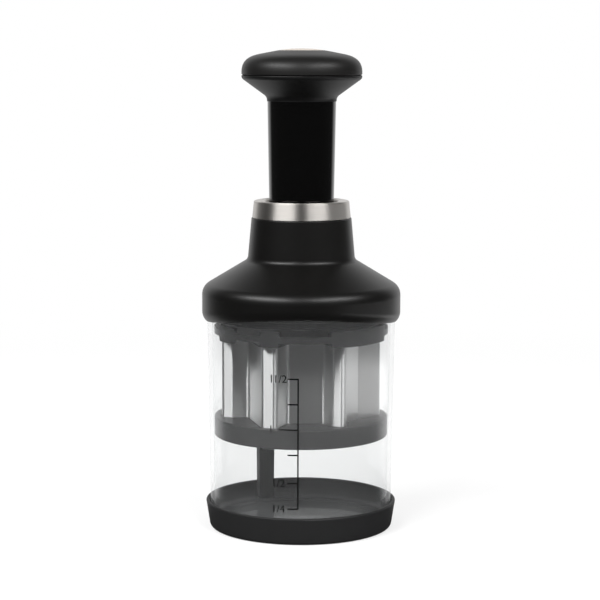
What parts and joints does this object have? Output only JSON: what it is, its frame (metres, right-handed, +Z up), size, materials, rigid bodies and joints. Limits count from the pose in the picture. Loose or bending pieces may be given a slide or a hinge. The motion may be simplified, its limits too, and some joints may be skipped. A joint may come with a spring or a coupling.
{
  "type": "plunger food chopper",
  "caption": "Hand food chopper: palm knob on a sprung glossy shaft, black domed lid with steel collar, star-shaped blade, slotted guard and clear cup on a black base cap.",
  "frame": {"origin": "centre of the base cap's underside, on the table", "axes": "+Z up along the plunger's axis, -Y towards the printed scale on the cup's front"},
  "size_m": [0.092, 0.092, 0.2222],
  "materials": {
    "cap_plastic": "fine matte",
    "cup_clear": "polished clear",
    "shell_plastic": "fine texture",
    "liner_plastic": "moulded",
    "seal_rubber": "smooth",
    "steel_ring": "turned",
    "blade_steel": "polished strip",
    "inner_steel": "plain",
    "spring_steel": "drawn wire",
    "shaft_plastic": "glossy",
    "knob_plastic": "fine matte",
    "knob_soft": "soft touch",
    "inlay_plastic": "plain",
    "carrier_plastic": "moulded",
    "bearing_plastic": "natural",
    "guard_plastic": "moulded"
  },
  "bodies": {
    "base": {"base_cap": "cap_plastic"},
    "cup": {"cup": "cup_clear"},
    "head": {"lid_shell": "shell_plastic", "lid_liner": "liner_plastic", "cup_seal": "seal_rubber", "liner_screws": "inner_steel", "neck_bush": "bearing_plastic", "shaft_wiper": "seal_rubber", "neck_ring": "steel_ring", "rod_bush": "bearing_plastic", "index_ring": "bearing_plastic", "return_spring": "spring_steel", "lower_spring_washer": "inner_steel"},
    "plunger": {"knob_cushion": "knob_soft", "knob_inlay": "inlay_plastic", "knob_body": "knob_plastic", "knob_screw": "inner_steel", "plunger_sleeve": "shaft_plastic", "sleeve_bumper": "seal_rubber", "plunger_rod": "inner_steel", "upper_spring_washer": "inner_steel", "hub_washer": "inner_steel", "rod_circlip": "inner_steel"},
    "blade": {"blade": "blade_steel", "blade_carrier": "carrier_plastic", "index_hub": "bearing_plastic"},
    "guard": {"guard_ring": "guard_plastic"}
  },
  "joints": [
    {"name": "cup_lift", "type": "slide", "parent": "base", "child": "cup", "axis": [0, 0, 1], "range_m": [0, 0.03]},
    {"name": "head_lift", "type": "slide", "parent": "cup", "child": "head", "axis": [0, 0, 1], "range_m": [0, 0.11]},
    {"name": "plunger_slide", "type": "slide", "parent": "head", "child": "plunger", "axis": [0, 0, -1], "range_m": [0, 0.0364], "stiffness_N_per_m": 250, "springref_m": -0.03, "deforming": ["return_spring"]},
    {"name": "blade_index", "type": "hinge", "parent": "plunger", "child": "blade", "pos_m": [0, 0, 0.091], "axis": [0, 0, 1], "continuous": true},
    {"name": "guard_turn", "type": "hinge", "parent": "head", "child": "guard", "pos_m": [0, 0, 0.0478], "axis": [0, 0, 1], "continuous": true}
  ],
  "couplings": [
    {"joint": "guard_turn", "follows": "blade_index", "ratio": 1}
  ]
}
